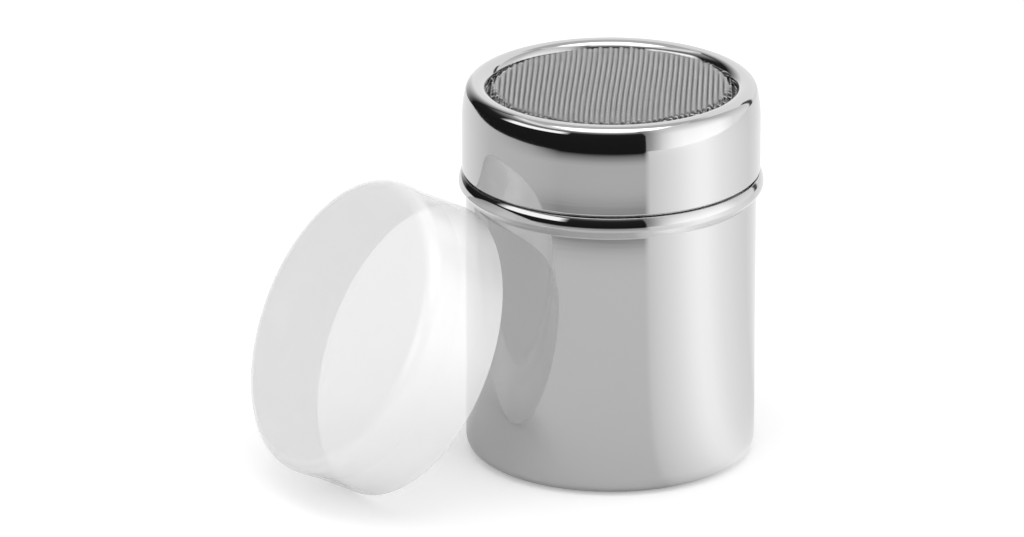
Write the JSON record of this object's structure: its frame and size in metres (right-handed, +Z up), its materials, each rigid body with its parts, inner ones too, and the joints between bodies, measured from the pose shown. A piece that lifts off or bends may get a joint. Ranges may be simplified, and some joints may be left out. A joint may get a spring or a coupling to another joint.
{
  "type": "powder shaker",
  "caption": "Round polished steel powder shaker: bead-rolled can, push-on lid with a woven mesh top, and a translucent dust cap leaning against it.",
  "frame": {"origin": "centre of the can's flat base, on the surface that the shaker stands on", "axes": "+Z up the can's axis; +X to the right and +Y away from the viewer of the picture, with the cap leaning on the -X side"},
  "size_m": [0.1059, 0.0851, 0.0799],
  "materials": {
    "can_steel": "stainless steel sheet, mirror polished",
    "lid_steel": "stainless steel sheet, mirror polished",
    "mesh_steel": "woven stainless steel wire",
    "ring_steel": "stainless steel sheet, as pressed",
    "cap_plastic": "translucent natural polypropylene, satin"
  },
  "bodies": {
    "can": {"can_body": "can_steel"},
    "lid": {"lid_shell": "lid_steel", "mesh_screen": "mesh_steel", "mesh_clamp_ring": "ring_steel"},
    "cap": {"dust_cap": "cap_plastic"}
  },
  "joints": [
    {"name": "lid_pull", "type": "slide", "parent": "can", "child": "lid", "axis": [0, 0, 1], "range_m": [0, 0.04]},
    {"name": "cap_take_away", "type": "slide", "parent": "can", "child": "cap", "axis": [-0.7807, -0.4186, 0.4641], "range_m": [0, 0.06]}
  ]
}
